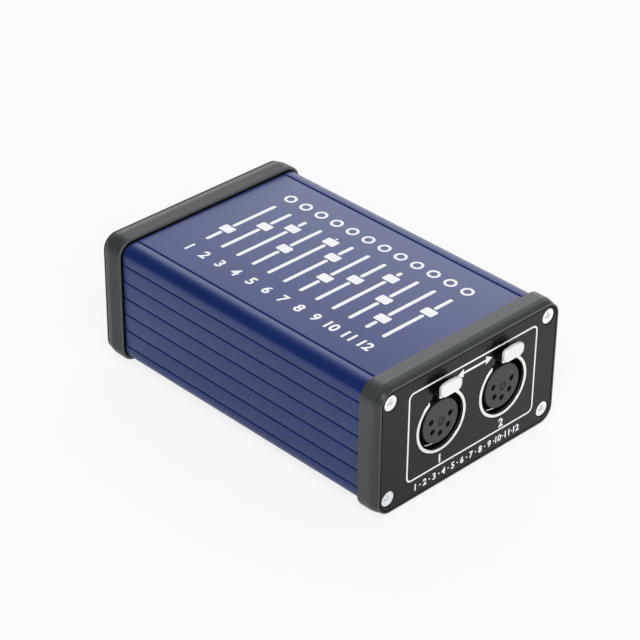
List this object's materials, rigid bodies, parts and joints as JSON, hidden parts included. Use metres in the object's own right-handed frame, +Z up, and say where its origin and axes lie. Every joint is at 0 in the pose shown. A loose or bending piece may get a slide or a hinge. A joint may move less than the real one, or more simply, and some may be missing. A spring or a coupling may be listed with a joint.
{
  "type": "usb dmx interface",
  "caption": "Desktop USB to DMX lighting interface: grooved extruded case with plastic bezels, latching round sockets on the front panel and a USB port behind.",
  "frame": {"origin": "on the surface the feet stand on, below the middle of the whole object's box", "axes": "+X to the right across the front panel as seen facing it, +Y from the front panel to the rear panel, +Z up"},
  "size_m": [0.0808, 0.1306, 0.0472],
  "materials": {
    "blue_anodised": "satin blue anodised extrusion",
    "bezel_plastic": "fine-textured dark grey moulding",
    "panel_black": "semi-gloss black with white print",
    "zinc": "bright zinc plating",
    "nickel": "satin nickel plating",
    "spring_steel": "plain steel",
    "contact_brass": "thin gold plating on brass",
    "insert_plastic": "moulded black thermoplastic",
    "rubber": "matt black rubber",
    "board": "green solder resist on glass laminate",
    "chip": "moulded black epoxy",
    "capacitor_can": "plain drawn can"
  },
  "bodies": {
    "case": {"case_extrusion": "blue_anodised", "belly_plate": "blue_anodised", "front_bezel": "bezel_plastic", "rear_bezel": "bezel_plastic", "front_panel": "panel_black", "rear_panel": "panel_black", "circuit_board": "board", "controller_chip": "chip", "crystal": "nickel", "usb_shell": "nickel", "usb_core": "insert_plastic", "front_screw_low_left": "zinc", "front_screw_low_right": "zinc", "front_screw_high_left": "zinc", "front_screw_high_right": "zinc", "rear_screw_low_left": "zinc", "rear_screw_low_right": "zinc", "rear_screw_high_left": "zinc", "rear_screw_high_right": "zinc", "foot_front_left": "rubber", "foot_front_right": "rubber", "foot_rear_left": "rubber", "foot_rear_right": "rubber", "socket_shell_a": "nickel", "socket_insert_a": "insert_plastic", "earth_leaf_a": "nickel", "latch_pin_a": "spring_steel", "latch_spring_a": "spring_steel", "driver_chip_a": "chip", "socket_shell_b": "nickel", "socket_insert_b": "insert_plastic", "earth_leaf_b": "nickel", "latch_pin_b": "spring_steel", "latch_spring_b": "spring_steel", "driver_chip_b": "chip", "contact_a1": "contact_brass", "contact_a2": "contact_brass", "contact_a3": "contact_brass", "contact_a4": "contact_brass", "contact_a5": "contact_brass", "contact_b1": "contact_brass", "contact_b2": "contact_brass", "contact_b3": "contact_brass", "contact_b4": "contact_brass", "contact_b5": "contact_brass", "usb_contact_1": "contact_brass", "usb_contact_2": "contact_brass", "usb_contact_3": "contact_brass", "usb_contact_4": "contact_brass", "capacitor_1": "capacitor_can", "capacitor_2": "capacitor_can"},
    "latch_a": {"latch_lever_a": "nickel"},
    "latch_b": {"latch_lever_b": "nickel"}
  },
  "joints": [
    {"name": "latch_a_press", "type": "hinge", "parent": "case", "child": "latch_a", "pos_m": [-0.0128, -0.0509, 0.03715], "axis": [-1, 0, 0], "range_deg": [0, 8], "stiffness_Nm_per_rad": 0.08, "springref_deg": -14.32, "deforming": ["latch_spring_a"]},
    {"name": "latch_b_press", "type": "hinge", "parent": "case", "child": "latch_b", "pos_m": [0.01504, -0.0509, 0.03715], "axis": [-1, 0, 0], "range_deg": [0, 8], "stiffness_Nm_per_rad": 0.08, "springref_deg": -14.32, "deforming": ["latch_spring_b"]}
  ]
}
